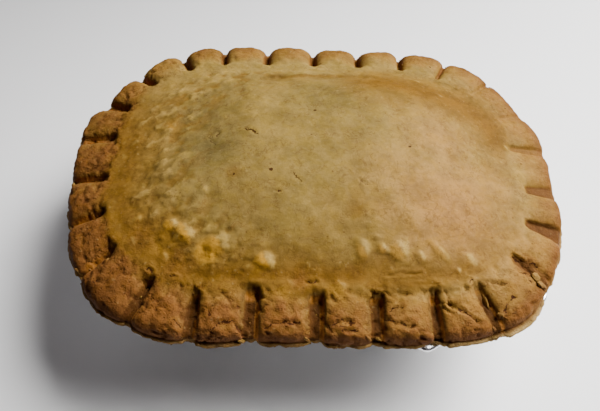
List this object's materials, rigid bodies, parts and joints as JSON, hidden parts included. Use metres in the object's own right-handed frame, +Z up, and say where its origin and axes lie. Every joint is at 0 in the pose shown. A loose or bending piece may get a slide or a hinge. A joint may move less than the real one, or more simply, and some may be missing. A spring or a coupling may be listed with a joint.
{
  "type": "steak and kidney pie",
  "caption": "Oblong baked pie with a domed golden lid and a crimped pastry rim, standing in its own pressed foil tray.",
  "frame": {"origin": "middle of the tray's flat base, on the surface the pie stands on", "axes": "+X along the pie's length, +Y away from the viewer, +Z up through the lid"},
  "size_m": [0.141, 0.106, 0.0442],
  "materials": {
    "pastry": "baked shortcrust pastry, golden on the lid and browner at the crimps, with a low glazed sheen",
    "foil": "thin bright aluminium foil, pressed and pleated"
  },
  "bodies": {
    "root": {"pie": "pastry", "foil_tray": "foil"}
  },
  "joints": []
}
